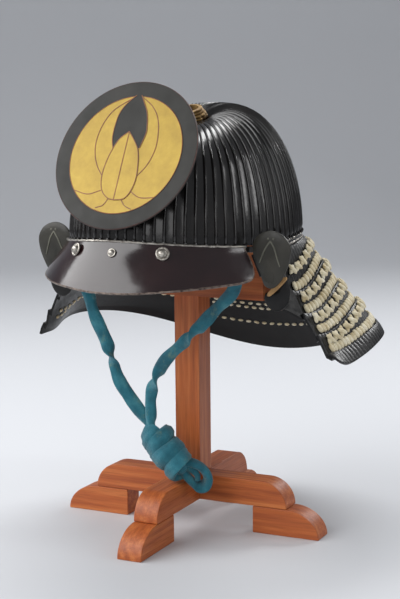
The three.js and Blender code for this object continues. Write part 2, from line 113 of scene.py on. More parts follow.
def rgb(r, g, b):
    def linear(c):
        c /= 255
        return c / 12.92 if c <= 0.04045 else ((c + 0.055) / 1.055) ** 2.4
    return (linear(r), linear(g), linear(b), 1)


def catmull(points, count, closed=False):
    """A smooth curve of count points through the given ones."""
    p = np.asarray(points, float)
    n = len(p)
    spans = n if closed else n - 1
    if not closed:
        p = np.vstack([2 * p[0] - p[1], p, 2 * p[-1] - p[-2]])
    t = np.linspace(0, spans, count, endpoint=not closed)
    i = np.minimum(t.astype(int), spans - 1)
    u = (t - i)[:, None]
    a, b, c, d = ((p[(i + k) % n] for k in (-1, 0, 1, 2)) if closed else (p[i + k] for k in range(4)))
    return 0.5 * (2 * b + (c - a) * u + (2 * a - 5 * b + 4 * c - d) * u ** 2
                  + (3 * b - a - 3 * c + d) * u ** 3)


def even(points, step):
    """A path cut into even steps, and the way along it at each."""
    p = np.asarray(points, float)
    way = np.concatenate([[0], np.cumsum(np.linalg.norm(np.diff(p, axis=0), axis=1))])
    at = np.linspace(0, way[-1], max(2, int(round(way[-1] / step)) + 1))
    return np.stack([np.interp(at, way, p[:, k]) for k in range(3)], 1), at


def tangents(p):
    return unit(np.gradient(p, axis=0))


def shifted(bm, move):
    """Moves every vertex of a shape by a function of points, (n, 3)."""
    points = move(np.array([vert.co for vert in bm.verts]))
    for vert, point in zip(bm.verts, points):
        vert.co = point
    return bm


def skin(rows, ring=False):
    """A grid laid through rows of like loops, joined round, and capped at its ends unless it is a ring."""
    rows = np.asarray(rows, float)
    if ring:
        rows = np.concatenate([rows, rows[:1]])
    rows = np.concatenate([rows, rows[:, :1]], 1)
    bm = bmesh.new()
    bmesh.ops.create_grid(bm, x_segments=rows.shape[1] - 1, y_segments=len(rows) - 1, size=1)
    shifted(bm, lambda _: rows.reshape(-1, 3))
    bmesh.ops.remove_doubles(bm, verts=bm.verts, dist=1e-3)
    if not ring:
        bmesh.ops.holes_fill(bm, edges=[edge for edge in bm.edges if edge.is_boundary], sides=0)
    return bm


def joined(shapes):
    whole = bmesh.new()
    for bm in shapes:
        mesh = bpy.data.meshes.new("share")
        bm.to_mesh(mesh)
        bm.free()
        whole.from_mesh(mesh)
        bpy.data.meshes.remove(mesh)
    return whole


def tube(path, wide, thick, axis=None, sides=14, closed=False):
    """A tube along a path, `wide` along axis and `thick` across it (half sizes)."""
    return skin(tube_rings(path, wide, thick, axis, sides, closed), closed)


def tube_rings(path, wide, thick, axis=None, sides=14, closed=False):
    p = np.asarray(path, float)
    t = unit(np.roll(p, -1, 0) - np.roll(p, 1, 0)) if closed else tangents(p)
    axis = np.broadcast_to(np.array([0.13, 0.2, 0.97]) if axis is None else axis, p.shape)
    w = unit(axis - (axis * t).sum(1, keepdims=True) * t)
    b = np.cross(t, w)
    a = np.linspace(0, 2 * np.pi, sides, endpoint=False)
    wide, thick = (np.broadcast_to(x, len(p)) for x in (wide, thick))
    return (p[:, None] + np.cos(a)[None, :, None] * (wide[:, None] * w)[:, None, :]
            + np.sin(a)[None, :, None] * (thick[:, None] * b)[:, None, :])


def frame_of(centre, x, y, z):
    """Matrix that puts a unit shape at a centre with three scaled axes."""
    return Matrix([(x[i], y[i], z[i], centre[i]) for i in range(3)] + [(0, 0, 0, 1)])


def beads(places, sides=10, rings=6):
    bm = bmesh.new()
    for at in places:
        bmesh.ops.create_uvsphere(bm, u_segments=sides, v_segments=rings, radius=1, matrix=frame_of(*at))
    return bm


def pads(places):
    """Small pillows: cubes with all their edges rounded."""
    bm = bmesh.new()
    for at in places:
        bmesh.ops.create_cube(bm, size=2, matrix=frame_of(*at))
    bmesh.ops.bevel(bm, geom=bm.edges[:], offset=34, offset_type="PERCENT", segments=2, profile=0.5,
                    affect="EDGES", material=-1)
    return bm


def lathe(profile, sides, place=None):
    """Profile of (radius, height) spun round Z; one that ends off the axis is closed on itself."""
    bm = bmesh.new()
    verts = [bm.verts.new((r, 0, h)) for r, h in profile]
    ends = verts[1:] + ([verts[0]] if profile[0][0] > 1e-6 else [])
    edges = [bm.edges.new(pair) for pair in zip(verts, ends)]
    bmesh.ops.spin(bm, geom=verts + edges, cent=(0, 0, 0), axis=(0, 0, 1), angle=2 * math.pi, steps=sides,
                   use_merge=True)
    bmesh.ops.remove_doubles(bm, verts=bm.verts, dist=1e-3)
    return shifted(bm, place) if place else bm


def corners(geometry):
    return [item for item in geometry if isinstance(item, bmesh.types.BMVert)]


def slab(outline, depth):
    """A flat face through an outline, extruded by a vector. Returns the shape and its new face."""
    bm = bmesh.new()
    face = bm.faces.new([bm.verts.new(point) for point in outline])
    drawn = bmesh.ops.extrude_face_region(bm, geom=[face], use_keep_orig=True)["geom"]
    bmesh.ops.translate(bm, verts=corners(drawn), vec=depth)
    return bm, next(item for item in drawn if isinstance(item, bmesh.types.BMFace))


def piece(name, bm, look, nodes=(), sharp=35, bevel=0):
    """An object from a shape in mm, that rides on the body and stands for CAD nodes."""
    shifted(bm, lambda points: (points - ORIGIN) / 1000)
    bmesh.ops.recalc_face_normals(bm, faces=bm.faces)
    for face in bm.faces:
        face.smooth = True
    for edge in bm.edges:
        edge.smooth = len(edge.link_faces) == 2 and edge.calc_face_angle(0) < math.radians(sharp)
    mesh = bpy.data.meshes.new(name)
    bm.to_mesh(mesh)
    bm.free()
    mesh.materials.append(look)
    obj = bpy.data.objects.new(name, mesh)
    bpy.context.scene.collection.objects.link(obj)
    if bevel:
        rounding = obj.modifiers.new("edges", "BEVEL")
        rounding.width, rounding.segments = bevel / 1000, 3
        rounding.limit_method, rounding.angle_limit = "ANGLE", math.radians(40)
        rounding.harden_normals = True
    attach(obj, "root")
    if nodes:
        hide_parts(*nodes)
    return obj


# Materials
def material(name, build, metal=0.0, rough=0.5, **sockets):
    mat = bpy.data.materials.new(name)
    mat.use_nodes = True
    tree = mat.node_tree
    shader = tree.nodes["Principled BSDF"]
    shader.inputs["Metallic"].default_value = metal
    shader.inputs["Roughness"].default_value = rough
    for key, value in sockets.items():
        shader.inputs[key.replace("_", " ")].default_value = value
    build(tree, shader)
    return mat


def link(tree, a, b):
    tree.links.new(a, b)


def coordinates(tree, scale=(1, 1, 1), attribute=None):
    if attribute:
        source = tree.nodes.new("ShaderNodeAttribute")
        source.attribute_name = attribute
        out = source.outputs["Vector"]
    else:
        out = tree.nodes.new("ShaderNodeTexCoord").outputs["Object"]
    mapping = tree.nodes.new("ShaderNodeMapping")
    mapping.inputs["Scale"].default_value = scale
    link(tree, out, mapping.inputs["Vector"])
    return mapping.outputs["Vector"]


def noise(tree, vector, scale, detail=4, rough=0.55):
    node = tree.nodes.new("ShaderNodeTexNoise")
    node.inputs["Scale"].default_value = scale
    node.inputs["Detail"].default_value = detail
    node.inputs["Roughness"].default_value = rough
    link(tree, vector, node.inputs["Vector"])
    return node.outputs["Fac"]


def ramp(tree, factor, *stops):
    node = tree.nodes.new("ShaderNodeValToRGB")
    for i, (at, colour) in enumerate(stops):
        stop = node.color_ramp.elements[i] if i < 2 else node.color_ramp.elements.new(at)
        stop.position, stop.color = at, colour if hasattr(colour, "__len__") else (colour, colour, colour, 1)
    link(tree, factor, node.inputs["Fac"])
    return node.outputs["Color"]


def mixed(tree, factor, a, b, mode="MIX"):
    node = tree.nodes.new("ShaderNodeMix")
    node.data_type, node.blend_type = "RGBA", mode
    if isinstance(factor, float):
        node.inputs["Factor"].default_value = factor
    else:
        link(tree, factor, node.inputs["Factor"])
    for socket, value in ((node.inputs[6], a), (node.inputs[7], b)):
        if hasattr(value, "is_linked"):
            link(tree, value, socket)
        else:
            socket.default_value = value
    return node.outputs[2]


def feed(tree, shader, socket, factor, *stops):
    """A ramp of colours or grey values into one socket of the shader."""
    link(tree, ramp(tree, factor, *stops), shader.inputs[socket])


def bump(tree, shader, height, strength, distance):
    node = tree.nodes.new("ShaderNodeBump")
    node.inputs["Strength"].default_value = strength
    node.inputs["Distance"].default_value = distance
    link(tree, height, node.inputs["Height"])
    link(tree, node.outputs["Normal"], shader.inputs["Normal"])


def lacquer(dark, light, low, high, patch=30.0, fine=0.00025):
    """Lacquer: cloudy colour, cloudy gloss and a faint unevenness."""
    def build(tree, shader):
        at = coordinates(tree)
        feed(tree, shader, "Base Color", noise(tree, at, patch, 5), (0.35, dark), (0.7, light))
        feed(tree, shader, "Roughness", noise(tree, at, patch * 3, 5), (0.3, low), (0.75, high))
        bump(tree, shader, noise(tree, at, 220, 3), 0.35, fine)
    return build


def worn_metal(base, worn, low=0.2, high=0.5, patch=160.0, depth=0.0003):
    """Metal in two tones, with cloudy gloss and small pits."""
    def build(tree, shader):
        at = coordinates(tree)
        feed(tree, shader, "Base Color", noise(tree, at, patch, 6, 0.65), (0.4, base), (0.65, worn))
        feed(tree, shader, "Roughness", noise(tree, at, patch * 2, 4), (0.35, low), (0.7, high))
        bump(tree, shader, noise(tree, at, patch * 4, 3), 0.5, depth)
    return build


def cloth(tree, shader):
    """Soft teal cloth with rubbed greenish-tan patches and a fine weave."""
    at = coordinates(tree)
    teal = ramp(tree, noise(tree, at, 55, 6, 0.6), (0.3, rgb(18, 82, 98)), (0.55, rgb(36, 112, 128)),
                (0.75, rgb(72, 140, 150)))
    rubbed = ramp(tree, noise(tree, coordinates(tree, (1, 1, 0.6)), 95, 7, 0.7), (0.56, 0.0), (0.72, 0.75))
    link(tree, mixed(tree, rubbed, teal, rgb(112, 134, 112)), shader.inputs["Base Color"])
    weave = tree.nodes.new("ShaderNodeTexWave")
    weave.inputs["Scale"].default_value = 520
    weave.inputs["Distortion"].default_value = 2.5
    weave.inputs["Detail"].default_value = 2
    link(tree, coordinates(tree, (1, 0.6, 1)), weave.inputs["Vector"])
    crinkle = ramp(tree, noise(tree, at, 420, 5, 0.7), (0.3, 0.0), (0.7, 1.0))
    bump(tree, shader, mixed(tree, 0.55, weave.outputs["Color"], crinkle), 0.8, 0.0005)


def lacing_silk(tree, shader):
    at = coordinates(tree)
    feed(tree, shader, "Base Color", noise(tree, at, 75, 6, 0.65), (0.3, rgb(186, 164, 116)),
         (0.52, rgb(228, 216, 182)), (0.75, rgb(246, 240, 220)))
    bump(tree, shader, noise(tree, at, 900, 4, 0.7), 0.6, 0.0004)


def leather(tree, shader):
    at = coordinates(tree)
    feed(tree, shader, "Base Color", noise(tree, at, 120, 5), (0.3, rgb(140, 100, 58)),
         (0.7, rgb(198, 158, 104)))
    bump(tree, shader, noise(tree, at, 700, 4), 0.5, 0.0003)


def gold_leaf(tree, shader):
    at = coordinates(tree)
    feed(tree, shader, "Base Color", noise(tree, at, 60, 6, 0.65), (0.3, rgb(150, 121, 34)),
         (0.6, rgb(168, 139, 44)), (0.8, rgb(179, 153, 60)))
    bump(tree, shader, noise(tree, at, 500, 4), 0.3, 0.0002)


def wood(attribute):
    """Wood whose grain runs along X, of the object or of an attribute of its own."""
    def build(tree, shader):
        long = coordinates(tree, (7, 170, 170), attribute)
        bands = noise(tree, long, 1.0, 5, 0.55)
        pores = noise(tree, coordinates(tree, (35, 900, 900), attribute), 1.0, 3, 0.6)
        colour = ramp(tree, bands, (0.25, rgb(146, 68, 28)), (0.5, rgb(178, 92, 40)),
                      (0.75, rgb(202, 120, 62)))
        dark = ramp(tree, pores, (0.36, 0.8), (0.5, 1.0))
        link(tree, mixed(tree, 1.0, colour, dark, "MULTIPLY"), shader.inputs["Base Color"])
        feed(tree, shader, "Roughness", pores, (0.3, 0.55), (0.7, 0.4))
        bump(tree, shader, pores, 0.35, 0.0004)
    return build


BLACK = material("black_lacquer", lacquer(rgb(13, 11, 11), rgb(25, 22, 21), 0.13, 0.27), IOR=1.6)
SCALE = material("scale_lacquer", lacquer(rgb(6, 6, 6), rgb(12, 11, 11), 0.28, 0.5, 80),
                 Specular_IOR_Level=0.3)
RUSSET = material("russet_lacquer", lacquer(rgb(26, 13, 16), rgb(42, 22, 23), 0.1, 0.24, 18, 0.00015),
                  IOR=1.6)
OLIVE = material("ear_lacquer", lacquer(rgb(32, 31, 26), rgb(52, 50, 43), 0.34, 0.55, 35),
                 Specular_IOR_Level=0.4)
# The ear ridges and their studs get a lighter lacquer. This is a painted highlight that makes the raised lines
# look lit.
PAINTED_RIDGE_HIGHLIGHT = material("ear_ridge_painted_highlight", lacquer(rgb(80, 80, 70), rgb(112, 111, 98), 0.3, 0.5, 35), IOR=1.5)
DISC = material("crest_lacquer", lacquer(rgb(44, 44, 42), rgb(56, 55, 52), 0.5, 0.65, 25, 0.0001),
                Specular_IOR_Level=0.25)
RIM_BROWN = material("crest_edge_lacquer", lacquer(rgb(48, 26, 22), rgb(84, 46, 38), 0.35, 0.6, 60))
LINE = material("crest_line", lacquer(rgb(110, 60, 20), rgb(140, 82, 30), 0.4, 0.6, 60))
GOLD = material("gold_leaf", gold_leaf, 0.25, 0.42)
GILT = material("gilt", worn_metal(rgb(158, 128, 78), rgb(92, 68, 42), 0.45, 0.75), 0.6)
IRON = material("silvered_iron", worn_metal(rgb(196, 191, 182), rgb(120, 114, 108), 0.24, 0.48), 0.85)
DULL = material("dark_iron", worn_metal(rgb(60, 56, 54), rgb(40, 36, 34), 0.35, 0.6), 0.8)
EDGE = material("worn_edge", worn_metal(rgb(132, 118, 108), rgb(46, 34, 32), 0.25, 0.5, 260), 0.5)
CLOTH = material("teal_cloth", cloth, 0, 0.95, Sheen_Weight=0.25)
LACE = material("lacing_silk", lacing_silk, 0, 0.85, Sheen_Weight=0.3)
LEATHER_LOOK = material("tan_leather", leather, 0, 0.6)
WOOD = material("stand_wood", wood("grain"), 0, 0.42)
BOARD_WOOD = material("head_board_wood", wood(None), 0, 0.5)


# The camera
def camera():
    yaw, pitch, roll = math.radians(CAMERA_YAW), math.radians(CAMERA_PITCH), math.radians(CAMERA_ROLL)
    ahead = np.array([-math.sin(yaw) * math.cos(pitch), math.cos(yaw) * math.cos(pitch), -math.sin(pitch)])
    right = np.array([math.cos(yaw), math.sin(yaw), 0])
    up = np.cross(right, ahead)
    right, up = (math.cos(roll) * right + math.sin(roll) * up, -math.sin(roll) * right + math.cos(roll) * up)
    data = bpy.data.cameras.new("camera")
    data.lens, data.sensor_width, data.clip_end = CAMERA_LENS, 36, 50
    obj = bpy.data.objects.new("camera", data)
    obj.matrix_world = frame_of(CAMERA_AT, right, up, -ahead)
    bpy.context.scene.collection.objects.link(obj)
    bpy.context.scene.camera = obj


camera()


# The chin cord: a flat padded tube that twists on itself where it looks narrow
def padded_cord(name, node, table, twists):
    path, way = even(catmull(table, 240), 2.0)
    t = tangents(path)
    facing = unit(VIEW - (t @ VIEW)[:, None] * t)
    across = np.cross(t, facing)
    # Each twist is half a turn, eased in and out over 32 mm
    shares = [np.clip((way - at + 16) / 32, 0, 1) for at in twists]
    turn = sum(np.pi * (x * x * (3 - 2 * x)) for x in shares) + 0.16 * np.sin(way / 17.0)
    axis = np.cos(turn)[:, None] * across + np.sin(turn)[:, None] * facing
    wide = CORD_WIDE + 0.5 * np.sin(way / 11.0) + 0.35 * np.sin(way / 5.3 + 1)
    thick = CORD_THICK + 0.35 * np.sin(way / 8.0 + 2)
    for end in (0, way[-1]):
        pinch = np.exp(-((way - end) / 12) ** 2)
        wide, thick = wide - 1.9 * pinch, thick + 1.2 * pinch
    rings = tube_rings(path, wide, thick, axis, 20)
    # Folds run along the cord and tighten at the twists
    a = np.linspace(0, 2 * np.pi, 20, endpoint=False)
    fold = 0.32 * np.cos(3 * a[None, :] + way[:, None] / 9) + 0.22 * np.cos(5 * a[None, :] - way[:, None] / 6)
    rings = rings + unit(rings - path[:, None]) * fold[..., None]
    obj = piece(name, skin(rings), CLOTH, [node], 60)
    return obj, path, way[-1]


def knot_shape():
    """Wraps of the cord round the standing part, then the folded end that hangs from them."""
    z = unit(KNOT_AXIS)
    x = unit(np.cross(z, [0, 1, 0]))
    y = np.cross(z, x)
    turns, start, end = 3.6, 3.5, 50.5
    s = np.linspace(0, 1, 300)
    angle = 2 * np.pi * turns * s + 0.6
    grow = np.sin(np.pi * (0.1 + 0.84 * s)) ** 0.3
    radius = 5.0 + 8.3 * grow + 0.5 * np.sin(angle * 1.3)
    height = start + (end - start) * (s + 0.012 * np.sin(2 * angle))
    middle = KNOT_FROM + z * height[:, None]
    path = middle + x * (radius * np.cos(angle))[:, None] + y * (radius * np.sin(angle))[:, None]
    axis = unit(z + 0.35 * np.sin(angle * 0.7)[:, None] * unit(path - middle))
    rings = tube_rings(path, 9.4 + 0.8 * np.sin(angle * 1.9), 4.7 + 0.5 * np.sin(angle * 1.4 + 1), axis, 22)
    a = np.linspace(0, 2 * np.pi, 22, endpoint=False)
    crease = (0.55 * np.cos(4 * a[None, :] + angle[:, None] * 0.9)
              + 0.35 * np.cos(7 * a[None, :] - angle[:, None] * 1.7))
    rings = rings + unit(rings - path[:, None]) * crease[..., None]
    core = beads([(KNOT_FROM + z * 29.5, x * 13.0, y * 13.0, z * 27)], 20, 12)
    loop, way = even(catmull(END_LOOP, 120), 1.5)
    wobble = 0.4 * np.sin(way / 6)
    low = np.exp(-((way - 0.62 * way[-1]) / 18) ** 2)
    end_loop = tube(loop, 5.8 + wobble + 1.8 * low, 4.2 - wobble, np.array([0.75, -0.45, -0.5]), 18)
    inner, way = even(catmull([(16, -47, 74), (24, -43.5, 70), (30, -41, 64), (31, -41, 57.5)], 60), 1.5)
    tongue = tube(inner, 4.6 - 1.6 * way / way[-1], 2.6, np.array([0.7, 0.2, 0.6]), 14)
    return joined([skin(rings), core, end_loop, tongue])


left_cord = padded_cord("chin_cord_left_cloth", "chin_cord_left", CORD_LEFT, (96, 164, 216))
right_cord = padded_cord("chin_cord_right_cloth", "chin_cord_right", CORD_RIGHT, (108,))
knot = piece("chin_knot_cloth", knot_shape(), CLOTH, ["chin_knot"], 60)


# The bowl
def rim_height(phi):
    angle = np.abs((np.asarray(phi, float) + 180) % 360 - 180)
    degrees, heights = zip(*RIM)
    return sum(np.interp(np.abs(angle + step), degrees, heights) for step in (-8, -4, 0, 4, 8)) / 5


def place(phi, out, z):
    phi, out, z = np.broadcast_arrays(np.asarray(phi, float), np.asarray(out, float), np.asarray(z, float))
    a = np.radians(phi)
    long = RIM_LONG + RIM_LEAN * np.cos(a)
    return np.stack([(RIM_HALF + out) * np.sin(a), -(long + out) * np.cos(a), z], -1)


def bowl_point(phi, s, inset):
    """Points of the bowl, inset along the inward normal. phi, s and inset are arrays of one shape."""
    a = np.radians(phi)
    rim = rim_height(phi)
    top = CROWN - CROWN_LEAN * np.cos(a)

    def at(share):
        long = RIM_LONG + RIM_LEAN * np.cos(a)
        dip = (top - HOLE_HEIGHT) * np.exp(-((share / 0.3) ** 2))
        rise = np.maximum(0, 1 - share ** 3) ** 0.4878
        flat = BROW_FLAT * share ** 2 * (1 - share ** 2) * np.maximum(0, np.cos(a)) ** 2
        sink = SINK * (1 + np.cos(a)) * np.exp(-((share / 0.36) ** 2))
        slant = SLANT * np.maximum(0, np.cos(a)) * share ** 2 * (1 - share ** 2) ** 2
        return np.stack([RIM_HALF * share * np.sin(a), 8 * (1 - share) ** 2 + flat - long * share * np.cos(a),
                         rim + (top - rim) * rise - dip - sink - slant], -1)

    slope = at(np.minimum(0.9995, s + 0.002)) - at(np.minimum(s, 0.997) - 0.002)
    slope = np.where((s > 0.995)[..., None], np.array([0, 0, -1.0]), slope)
    level = np.stack([np.cos(a) * RIM_HALF, np.sin(a) * RIM_LONG, np.zeros_like(a)], -1)
    normal = unit(np.cross(slope, level))
    point = at(s)
    level_inward = (np.abs(normal[..., 2]) < 0.05) & ((normal * point)[..., :2].sum(-1) < 0)
    inward = (normal[..., 2] < 0) | level_inward
    return point + np.where(inward, -1, 1)[..., None] * normal * -inset[..., None]


def bowl_shape():
    """Rows down the outside, with a rib and a trough in each pitch, then up the plain inside."""
    pitch = 360 / RIBS
    across = np.array([0, 0.06, 0.11, 0.145, 0.175, 0.25, 0.37, 0.5, 0.63, 0.75, 0.825, 0.855, 0.89, 0.94])
    half = 0.16
    near = np.minimum(across, 1 - across)
    ridge = np.where(near < half, np.sqrt(np.maximum(0, 1 - (near / half) ** 2)), 0)
    trough = 0.5 * (1 - (np.abs(across - 0.5) / 0.5) ** 2)
    phi = (np.arange(RIBS)[:, None] * pitch + across[None, :] * pitch).ravel()
    ridge, trough = np.tile(ridge, RIBS), np.tile(trough, RIBS)
    outer = 1 - np.array([0, 0.0007, 0.0018, 0.004, 0.009, 0.018, 0.032, 0.05, 0.075, 0.105, 0.14, 0.18, 0.225,
                          0.27, 0.32, 0.37, 0.42, 0.475, 0.53, 0.585, 0.64, 0.69, 0.74, 0.785, 0.825, 0.86,
                          1 - TOP_HOLE])
    inner = np.array([1, 0.97, 0.9, 0.78, 0.62, 0.46, 0.3, 0.2, TOP_HOLE])
    rows = []
    for s in outer:
        grow = np.minimum(1, 0.2 + 1.5 * (s - TOP_HOLE))
        # The ribs end in small rounded noses just above the rim
        nose = math.sqrt(max(0.0, 1 - max(0, (s - 0.9993) / 0.0007) ** 2)) if s > 0.9993 else 1.0
        height = RIB_HEIGHT * grow * ridge * (0.25 + 0.75 * nose) - trough * grow
        rows.append(bowl_point(phi, np.full_like(phi, s), -height))
    for s in inner[::-1]:
        rows.append(bowl_point(phi, np.full_like(phi, s), np.full_like(phi, BOWL_WALL)))
    return skin(np.array(rows).transpose(1, 0, 2), True)


piece("bowl_of_ribs", bowl_shape(), BLACK, ["helmet_bowl"], 50)


def band_section(phi):
    """The waist band's section with broken corners, under the rim."""
    low = rim_height(phi)
    line = [(0.2, low - 0.6), (0.6, low - 1.0), (0.6, low - 6.2), (0.2, low - 6.6), (-1.8, low - 6.6),
            (-2.2, low - 6.2), (-2.2, low - 1.0), (-1.8, low - 0.6)]
    return place(phi, *np.array(line).T)


ROUND = np.linspace(0, 360, 181)[:-1]
piece("waist_band_plate", skin([band_section(phi) for phi in ROUND], True), BLACK,
      ["waist_band"], 40)


def bead(phis, out, drop, radius, wave):
    """A thin rolled wire along the rim, a little uneven."""
    phis = np.asarray(phis, float)
    z = rim_height(phis) - drop + wave * np.sin(phis * 1.1) + 0.5 * wave * np.sin(phis * 2.7)
    return tube(place(phis, out, z), radius, radius, None, 8)


BACK = np.linspace(84, 276, 220)
FRONT = np.linspace(-61, 61, 160)
piece("waist_band_edges", joined([bead(BACK, 1.15, 1.3, 0.9, 0.25), bead(BACK, 1.15, 6.0, 0.9, 0.2)]), IRON)


def rib_noses():
    """The small rounded end of each rib, just above the rim."""
    places = []
    for phi in np.arange(RIBS) * 360 / RIBS:
        along = unit(place(phi + 1, 0, 0) - place(phi, 0, 0))
        outward = unit(place(phi, 1, 0) * [1, 1, 0])
        middle = place(phi, 1.6, rim_height(phi) + 0.4)
        places.append((middle, along * 1.5, outward * 1.3, np.array([0, 0, 1.9])))
    return beads(places, 8, 5)


piece("rib_noses", rib_noses(), BLACK)


# The gilt rings of the top hole
def top_ring():
    profile = [(10.5, 0), (17.2, 0)]
    for middle, centre, size in ((15.8, 1.6, 2.0), (15.4, 4.6, 1.9), (13.6, 7.5, 1.7), (12.9, 10, 1.4)):
        profile += [(middle + size * math.cos(t), centre + 0.85 * size * math.sin(t))
                    for t in np.linspace(-1.2, 1.2, 7)]
    profile += [(12.0, 11.2), (10.5, 11.2)]

    def tilt(p):
        # Sixteen petals round the lowest ring
        wave = 0.045 * np.cos(16 * np.arctan2(p[:, 1], p[:, 0]))
        petals = 1 + wave * (np.hypot(p[:, 0], p[:, 1]) > 14) * (p[:, 2] < 4)
        p = p * np.stack([petals, petals, np.ones(len(p))], 1)
        c, s = math.cos(RING_TILT), math.sin(RING_TILT)
        return np.stack([p[:, 0], c * p[:, 1] - s * p[:, 2], s * p[:, 1] + c * p[:, 2]], 1) + RING_AT
    return lathe(profile, 96, tilt)


piece("gilt_top_ring", top_ring(), GILT, ["top_ring"], 50)


# The visor with its rolled edge
def section(line, thickness):
    """A wall's section: an outer line, and its inner line back at a thickness."""
    line = np.asarray(line, float)
    step = unit(np.diff(line, axis=0))
    normal = np.stack([-step[:, 1], step[:, 0]], 1)
    a, b = np.vstack([normal[:1], normal]), np.vstack([normal, normal[-1:]])
    inner = line - (a + b) * (thickness / (1 + (a * b).sum(1)))[:, None]
    return np.vstack([line, inner[::-1]])


VISOR_LINE = catmull(VISOR_ROWS, 26)


def visor_edge(phi):
    degrees, heights = zip(*VISOR_EDGE)
    return sum(np.interp(np.clip(phi + step, -VISOR_END, VISOR_END), degrees, heights)
               for step in (-5, -2.5, 0, 2.5, 5)) / 5


def visor_column(phi, thickness=2.2):
    top = rim_height(phi) - 1
    line = [(out, top + (visor_edge(phi) - top) * way) for way, out, _ in VISOR_LINE]
    points = section(line, thickness)
    short = np.concatenate([VISOR_LINE[:, 2], VISOR_LINE[::-1, 2]])
    return place(phi * (1 - short / VISOR_END), points[:, 0], points[:, 1])


piece("visor_plate", skin([visor_column(phi) for phi in np.linspace(-VISOR_END, VISOR_END, 121)]), RUSSET,
      ["visor"], 40)


def visor_rim():
    """The worn rolled edge, down one end of the visor, along its lower edge and up the other end."""
    count = len(VISOR_LINE)

    def middle(phi, rows):
        column = visor_column(phi)
        return [(column[i] + column[2 * count - 1 - i]) / 2 for i in rows]
    lower = [middle(phi, [count - 1])[0] for phi in np.linspace(1 - VISOR_END, VISOR_END - 1, 119)]
    path = middle(-VISOR_END, range(count)) + lower + middle(VISOR_END, range(count - 1, -1, -1))
    path = even(path, 1.5)[0]
    path[1:-1] = (path[:-2] + path[1:-1] + path[2:]) / 3
    chip = 1.25 + 0.12 * np.sin(np.arange(len(path)) * 0.9) * np.sin(np.arange(len(path)) * 0.13)
    return tube(path, chip, chip, None, 10)


piece("visor_rim", visor_rim(), EDGE)
piece("bowl_rim_line", bead(FRONT, 3.7, 0.3, 1.0, 0.12), IRON)


def rivet(x, y, z, size):
    """A domed head on a washer."""
    profile = [(0, -0.05), (1.25, -0.05), (1.27, 0.1), (1.2, 0.2), (1.02, 0.22), (0.9, 0.17), (0.84, 0.25),
               (0.82, 0.4), (0.74, 0.56), (0.58, 0.7), (0.36, 0.8), (0.16, 0.84), (0, 0.85)]
    out = unit([x * 1.5, y, abs(y) * 0.42])
    side = unit(np.cross([0, 0, 1], out))
    up = np.cross(out, side)
    return lathe([(r * size, h * size) for r, h in profile], 32,
                 lambda p: np.array([x, y, z]) + p[:, :1] * side + p[:, 1:2] * up + p[:, 2:] * out)


for name, spot in (("centre", (0, -147.2, 299.5, 3.4)), ("left", (47.8, -135, 299.4, 5.2)),
                   ("right", (-47.8, -135, 299.4, 5.2))):
    piece("rivet_" + name, rivet(*spot), IRON, ["visor_rivet_" + name], 50)


# The crest: a lacquered disc with a flower ornament in gold, outlined in brown
CREST_SIDE = np.array([1.0, 0, 0])
CREST_UP = np.array([0, math.sin(CREST_LEAN), math.cos(CREST_LEAN)])
CREST_OUT = np.array([0, -math.cos(CREST_LEAN), math.sin(CREST_LEAN)])


def off_disc(points):
    """Points of (across, up, out) from the middle of the disc's face."""
    return CREST + points[:, :1] * CREST_SIDE + points[:, 1:2] * CREST_UP + points[:, 2:] * CREST_OUT


def on_disc(points, height):
    """Points of (across, up), at one height over the disc's face."""
    p = np.asarray(points, float)
    return off_disc(np.column_stack([p[:, :2], np.full(len(p), height)]))


def circle(radius, angles):
    return [(radius * math.cos(t), radius * math.sin(t)) for t in angles]


def whole_turn(count):
    return np.linspace(0, 2 * np.pi, count, endpoint=False)


DISC_PROFILE = [(0, -3), (60, -3), (75, -3), (75.9, -2.5), (76.2, -1.6), (76.0, -0.95), (75.4, -0.52),
                (74.4, -0.4), (60, -0.4), (0, -0.4)]
piece("crest_plate", lathe(DISC_PROFILE, 160, off_disc), DISC, ["crest_disc"], 50)
rim_path = on_disc(circle(75.6, whole_turn(160)), -1.0)
piece("crest_edge", tube(rim_path, 0.6, 0.5, CREST_OUT, 8, True), RIM_BROWN)


def flat_inlay(outline, height, thickness=0.3):
    return slab(on_disc(outline, height), CREST_OUT * -thickness)[0]


def strip(line, width, height, thickness=0.25):
    """A flat line on the disc, from points across its face."""
    p = catmull([(x, y, 0) for x, y in line], 14 * len(line))
    side = np.cross(tangents(p), [0, 0, 1]) * width / 2
    low = height - thickness
    return skin(np.stack([on_disc(p + side, height), on_disc(p - side, height), on_disc(p - side, low),
                          on_disc(p + side, low)], 1))


# Lines of the ornament on the disc's face: the dark lance, the bud, the leaves' inner edges and the base
LANCE_LEFT = [(-2.4, 61.3), (-9, 55.2), (-14.3, 48.1), (-17.4, 40.5), (-18.3, 33.6), (-18.7, 24.5),
              (-18.1, 15.6), (-14.9, 6.1)]
LANCE_RIGHT = [(3.2, 61.3), (6, 56.6), (9, 51.6), (12.8, 44.8), (15.2, 37.3), (17, 29), (17.5, 20.6),
               (14.2, 6.4)]
BUD_LEFT = [(-1, 23.5), (-10.7, 14.5), (-16.9, -1.1), (-19.6, -17.7), (-18.6, -29.5), (-14.6, -38.8),
            (-7.2, -45), (0, -46.5)]
BUD_RIGHT = [(-1, 23.5), (9.2, 11.1), (14.2, 1.7), (17.4, -13.5), (18.2, -26.3), (15.5, -38), (9.9, -45.1),
             (0, -46.5)]
BUD_MIDDLE = [(-0.8, 22.9), (-0.9, 0), (-0.6, -46)]
LEAF_LEFT = [(-4.4, 59.6), (-24.1, 45.8), (-32.9, 30), (-35.6, 13.1), (-33, -1.3), (-27.2, -13.1),
             (-19.6, -22.4)]
LEAF_RIGHT = [(4.5, 59.5), (16.9, 50.4), (25.3, 39.6), (30.1, 25.4), (31.7, 6.6), (27.1, -9.8), (18.9, -21.6)]
